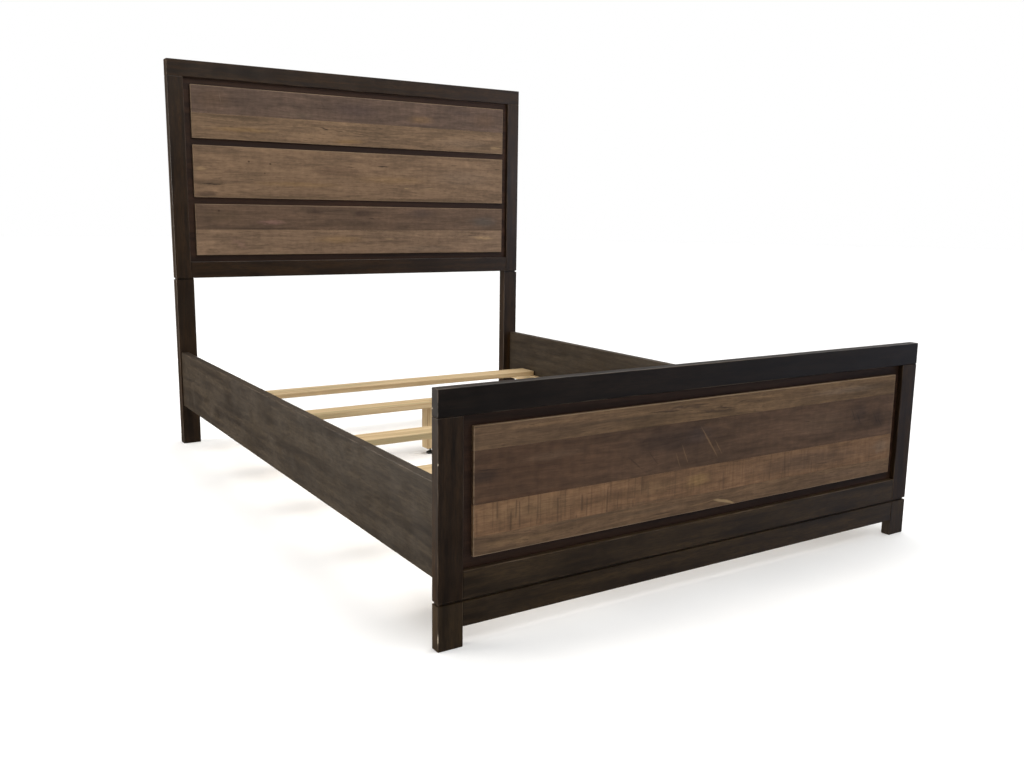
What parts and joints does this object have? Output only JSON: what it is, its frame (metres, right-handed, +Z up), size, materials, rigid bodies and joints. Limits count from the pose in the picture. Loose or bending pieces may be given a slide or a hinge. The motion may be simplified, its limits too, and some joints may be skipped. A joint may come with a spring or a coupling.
{
  "type": "wooden bed frame",
  "caption": "Panelled double bed frame: rough-sawn planks framed in a dark headboard and low footboard, hooked side rails, loose slats on cleats with levelled middle legs.",
  "frame": {"origin": "on the floor under the middle of the bed", "axes": "+X across the bed to the right as seen from the foot, +Y from the footboard to the headboard, +Z up"},
  "size_m": [1.473, 2.065, 1.389],
  "materials": {
    "frame_wood": "dark espresso stain under satin lacquer",
    "rail_wood": "dark brown stain under satin lacquer",
    "backing_wood": "near-black stain, dead matt",
    "plank_dark": "rough-sawn, mid brown stain, low sheen",
    "plank_light": "rough-sawn, light brown stain, low sheen",
    "slat_wood": "planed, bare",
    "steel": "zinc-plated pressed steel",
    "leveler_plastic": "moulded black nylon"
  },
  "bodies": {
    "bed": {"footboard_apron": "frame_wood", "footboard_backing": "backing_wood", "footboard_board_1": "plank_light", "footboard_board_2": "plank_dark", "footboard_board_3": "plank_light", "footboard_board_4": "plank_light", "footboard_bottom_rail": "frame_wood", "footboard_dowel_left": "slat_wood", "footboard_dowel_right": "slat_wood", "footboard_foot_left": "frame_wood", "footboard_foot_right": "frame_wood", "footboard_stile_left": "frame_wood", "footboard_stile_right": "frame_wood", "footboard_top_rail": "frame_wood", "headboard_backing": "backing_wood", "headboard_bottom_plank_lower": "plank_light", "headboard_bottom_plank_upper": "plank_dark", "headboard_bottom_rail": "frame_wood", "headboard_dowel_left": "slat_wood", "headboard_dowel_right": "slat_wood", "headboard_leg_left": "frame_wood", "headboard_leg_right": "frame_wood", "headboard_middle_plank": "plank_light", "headboard_stile_left": "frame_wood", "headboard_stile_right": "frame_wood", "headboard_top_plank_lower": "plank_light", "headboard_top_plank_upper": "plank_dark", "headboard_top_rail": "frame_wood", "post_plate_left_foot": "steel", "post_plate_left_head": "steel", "post_plate_right_foot": "steel", "post_plate_right_head": "steel", "rail_hook_left_foot": "steel", "rail_hook_left_head": "steel", "rail_hook_right_foot": "steel", "rail_hook_right_head": "steel", "side_rail_left": "rail_wood", "side_rail_right": "rail_wood", "slat_cleat_left": "slat_wood", "slat_cleat_right": "slat_wood"},
    "slat_1": {"slat_1": "slat_wood"},
    "slat_2": {"slat_2": "slat_wood", "support_leg_2": "slat_wood", "support_screw_2": "steel", "threaded_insert_2": "steel"},
    "leveler_2": {"leveler_2": "leveler_plastic"},
    "slat_3": {"slat_3": "slat_wood", "support_leg_3": "slat_wood", "support_screw_3": "steel", "threaded_insert_3": "steel"},
    "leveler_3": {"leveler_3": "leveler_plastic"},
    "slat_4": {"slat_4": "slat_wood", "support_leg_4": "slat_wood", "support_screw_4": "steel", "threaded_insert_4": "steel"},
    "leveler_4": {"leveler_4": "leveler_plastic"},
    "slat_5": {"slat_5": "slat_wood"}
  },
  "joints": [
    {"name": "slat_1_lift", "type": "slide", "parent": "bed", "child": "slat_1", "axis": [0, 0, 1], "range_m": [0, 0.25]},
    {"name": "slat_2_lift", "type": "slide", "parent": "bed", "child": "slat_2", "axis": [0, 0, 1], "range_m": [0, 0.4]},
    {"name": "leveler_2_screw", "type": "slide", "parent": "slat_2", "child": "leveler_2", "axis": [0, 0, 1], "range_m": [-0.02, 0.008]},
    {"name": "slat_3_lift", "type": "slide", "parent": "bed", "child": "slat_3", "axis": [0, 0, 1], "range_m": [0, 0.4]},
    {"name": "leveler_3_screw", "type": "slide", "parent": "slat_3", "child": "leveler_3", "axis": [0, 0, 1], "range_m": [-0.02, 0.008]},
    {"name": "slat_4_lift", "type": "slide", "parent": "bed", "child": "slat_4", "axis": [0, 0, 1], "range_m": [0, 0.4]},
    {"name": "leveler_4_screw", "type": "slide", "parent": "slat_4", "child": "leveler_4", "axis": [0, 0, 1], "range_m": [-0.02, 0.008]},
    {"name": "slat_5_lift", "type": "slide", "parent": "bed", "child": "slat_5", "axis": [0, 0, 1], "range_m": [0, 0.25]}
  ]
}
